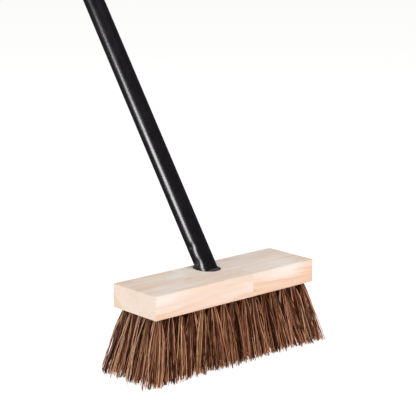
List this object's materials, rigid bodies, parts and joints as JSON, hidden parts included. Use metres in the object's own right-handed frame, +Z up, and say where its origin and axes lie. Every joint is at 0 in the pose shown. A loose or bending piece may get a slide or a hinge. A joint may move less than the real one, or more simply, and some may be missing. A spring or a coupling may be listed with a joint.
{
  "type": "push broom",
  "caption": "Push broom with a glued wooden block, rows of stapled stiff plant-fibre tufts and a slanted screw-in black steel tube handle.",
  "frame": {"origin": "on the floor under the middle of the block, at the middle of the area that the bristle tips cover", "axes": "+X along the block to the right, -Y the front of the broom, +Y the side that the handle leans to, +Z up"},
  "size_m": [0.2848, 0.8678, 1.2482],
  "materials": {
    "black_enamel": "glossy black enamel",
    "black_plastic": "satin moulded",
    "grey_plastic": "satin moulded",
    "pale_wood": "bare, sanded",
    "plant_fibre": "coarse natural fibre",
    "anchor_wire": "flat wire"
  },
  "bodies": {
    "handle": {"handle_tube": "black_enamel", "threaded_tip": "black_plastic", "hang_cap": "black_plastic"},
    "collar": {"handle_collar": "grey_plastic"},
    "head": {"front_stave_left": "pale_wood", "front_stave_right": "pale_wood", "back_stave_left": "pale_wood", "back_stave_right": "pale_wood", "tuft_row_1": "plant_fibre", "tuft_row_2": "plant_fibre", "tuft_row_3": "plant_fibre", "tuft_row_4": "plant_fibre", "tuft_row_5": "plant_fibre", "anchor_row_1": "anchor_wire", "anchor_row_2": "anchor_wire", "anchor_row_3": "anchor_wire", "anchor_row_4": "anchor_wire", "anchor_row_5": "anchor_wire"}
  },
  "joints": [
    {"name": "screw_travel", "type": "slide", "parent": "handle", "child": "collar", "axis": [0, -0.5736, -0.8192], "range_m": [0, 0.0204]},
    {"name": "head_unscrew", "type": "hinge", "parent": "collar", "child": "head", "pos_m": [0, 0.01723, 0.1048], "axis": [0, -0.5736, -0.8192], "range_deg": [0, 1440]}
  ],
  "couplings": [
    {"joint": "screw_travel", "follows": "head_unscrew", "m_per_rad": 0.00080851}
  ]
}
